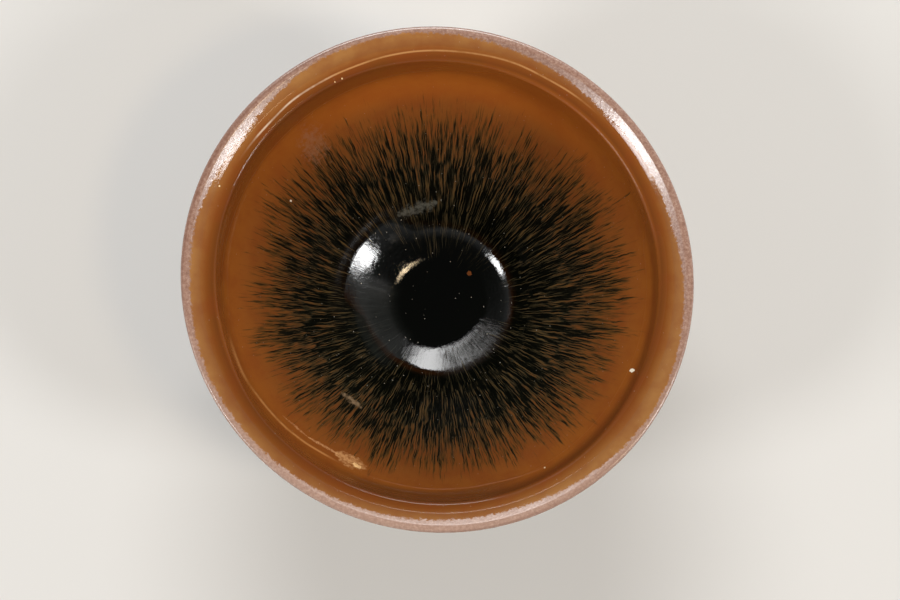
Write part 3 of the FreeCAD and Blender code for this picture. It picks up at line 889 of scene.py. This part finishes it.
def run_down(mesh):
    """Lets the glaze of the roll hang in lobes: the lower it sits, the further it slid down the slope."""
    for vert in mesh.verts:
        radius = math.hypot(vert.co.x, vert.co.y)
        heading = Vector((vert.co.x, vert.co.y, 0)) / radius
        low = smooth(vert.co.z, roll_seam_top[1] - 0.8 * mm, roll_foot[1])
        lobes = noise.noise(heading * 3.1) * wide_lobe + noise.noise(heading * 9.0) * small_lobe
        slid = low * lobes
        vert.co += heading * downhill.x * slid + Vector((0, 0, downhill.z * slid))


roll_finish = black_glaze()
roll_mesh = turned([roll_seam_top, roll_crest, roll_foot, roll_foot_clay, roll_seam_clay])
run_down(roll_mesh)
roll = finish_piece("rolled_edge", roll_mesh, roll_finish)
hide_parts("glaze_roll")

# The tears that hang from the roll.
# Five drops of the same black glass that ran on down the slope and froze before they reached the foot.

# Each tear's place round the bowl, in degrees from the right, and its share of the usual length.
TEARS = ((18, 1.0), (96, 0.75), (139, 1.3), (221, 0.85), (297, 1.1))
TEAR_ROUND_STEPS = 40
tear_length = 5.6 * mm
tear_tip = (2.0 * mm, 0, 1.6 * mm)
tear_neck = 1.3 * mm
tear_neck_rounding = 3.0 * mm
tear_flare = 2.6 * mm
tear_flare_height = 1.6 * mm
tear_sink = 0.3 * mm
tear_top = along(belly_outside, heel, 0.755)
tears_mesh = bmesh.new()
for angle, length_share in TEARS:
    length = tear_length * length_share
    top = length + tear_flare_height
    drop = half_section([
        (0, 0, 0), tear_tip, (tear_neck, length, tear_neck_rounding), (tear_flare, top, 0), (0, top, 0),
    ], closed=False)
    bmesh.ops.spin(drop, geom=drop.verts[:] + drop.edges[:], cent=(0, 0, 0), axis=(0, 0, 1), angle=math.tau,
                   steps=TEAR_ROUND_STEPS, use_merge=True)
    lean = (-downhill).to_track_quat("Z", "Y").to_matrix().to_4x4()
    end = Vector((tear_top[0], 0, tear_top[1])) + downhill * length
    end += Vector((downhill.z, 0, -downhill.x)) * tear_sink
    lean.translation = end
    bmesh.ops.transform(drop, verts=drop.verts[:], matrix=Matrix.Rotation(math.radians(angle), 4, "Z") @ lean)
    drop_data = bpy.data.meshes.new("drop")
    drop.to_mesh(drop_data)
    drop.free()
    tears_mesh.from_mesh(drop_data)
    bpy.data.meshes.remove(drop_data)
bmesh.ops.remove_doubles(tears_mesh, verts=tears_mesh.verts[:], dist=MERGE_DISTANCE)
bmesh.ops.recalc_face_normals(tears_mesh, faces=tears_mesh.faces[:])
tears = finish_piece("frozen_tears", tears_mesh, roll_finish)
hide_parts("glaze_tears")

# The floor that the bowl stands on.
# A plain, pale, matt sheet that takes the bowl's shadow. It is wide enough for the views from above; a low view
# sees its far edge.

FLOOR_HALF_WIDTH = 3.0
floor_mesh = bmesh.new()
bmesh.ops.create_grid(floor_mesh, x_segments=1, y_segments=1, size=FLOOR_HALF_WIDTH)
floor_data = bpy.data.meshes.new("floor")
floor_mesh.to_mesh(floor_data)
floor_mesh.free()
floor = bpy.data.objects.new("floor", floor_data)
bpy.context.scene.collection.objects.link(floor)
floor_finish = Finish("pale_floor")
floor_finish.put(floor_finish.shader.inputs["Base Color"], colour(226, 224, 220))
floor_finish.shader.inputs["Roughness"].default_value = 0.8
floor_data.materials.append(floor_finish.material)

# The room and the lamps.
# A pale room that darkens overhead, and four soft oval lamps, each where the photograph shows its mirror
# image in the glaze: one on either side, a wide one behind, and a small warm one high on the right.

ROOM_GREYS = ((0.2, 0.7), (0.82, 0.03))
LAMP_REACH = 1.2
world = bpy.data.worlds.new("studio")
bpy.context.scene.world = world
world.use_nodes = True
sky = world.node_tree
sky_place = sky.nodes.new("ShaderNodeTexCoord")
sky_split = sky.nodes.new("ShaderNodeSeparateXYZ")
sky_ramp = sky.nodes.new("ShaderNodeValToRGB")
sky.links.new(sky_place.outputs["Generated"], sky_split.inputs[0])
sky.links.new(sky_split.outputs["Z"], sky_ramp.inputs["Fac"])
for element, (upwards, grey) in zip(sky_ramp.color_ramp.elements, ROOM_GREYS):
    element.position = upwards
    element.color = (grey, grey, grey, 1)
sky.links.new(sky_ramp.outputs["Color"], sky.nodes["Background"].inputs["Color"])


def softbox(name, azimuth, elevation, wide, tall, radiance, tint=(1, 1, 1)):
    """A lamp aimed at the bowl from an azimuth and an elevation, as wide and tall as the bowl sees it, all in
    degrees."""
    data = bpy.data.lights.new(name, "AREA")
    data.shape = "ELLIPSE"
    data.size = 2 * LAMP_REACH * math.tan(math.radians(wide) / 2)
    data.size_y = 2 * LAMP_REACH * math.tan(math.radians(tall) / 2)
    data.energy = radiance * math.pi * math.pi / 4 * data.size * data.size_y
    data.color = tint
    lamp = bpy.data.objects.new(name, data)
    bpy.context.scene.collection.objects.link(lamp)
    a = math.radians(azimuth)
    e = math.radians(elevation)
    away = Vector((math.cos(a) * math.cos(e), math.sin(a) * math.cos(e), math.sin(e)))
    lamp.location = Vector((0, 0, bowl_height / 2)) + away * LAMP_REACH
    lamp.rotation_euler = away.to_track_quat("Z", "Y").to_euler()


softbox("lamp_right", -20.5, 39.5, 12, 15, 24)
softbox("lamp_left", 207, 40.6, 14, 15, 20)
softbox("lamp_back", 98, 45, 38, 20, 9.5)
softbox("lamp_room", -31, 62, 10, 7.5, 20, (1, 0.78, 0.5))

# The camera.
# It looks down almost straight over the bowl, leaning a little to the front, from where the photograph was
# taken, and sees as much as the photograph shows.

CAMERA_REACH = 0.4142
lens_data = bpy.data.cameras.new("camera")
lens_data.lens = 69.7
camera = bpy.data.objects.new("camera", lens_data)
bpy.context.scene.collection.objects.link(camera)
bpy.context.scene.camera = camera
aim = Vector((3.4 * mm, -5.8 * mm, bowl_height))
to_camera = Vector((0.006, -0.125, 0.992)).normalized()
camera.location = aim + to_camera * CAMERA_REACH
camera.rotation_euler = to_camera.to_track_quat("Z", "Y").to_euler()
lens_data.clip_start = 0.01
lens_data.clip_end = 20

bpy.context.scene.view_settings.view_transform = "Standard"
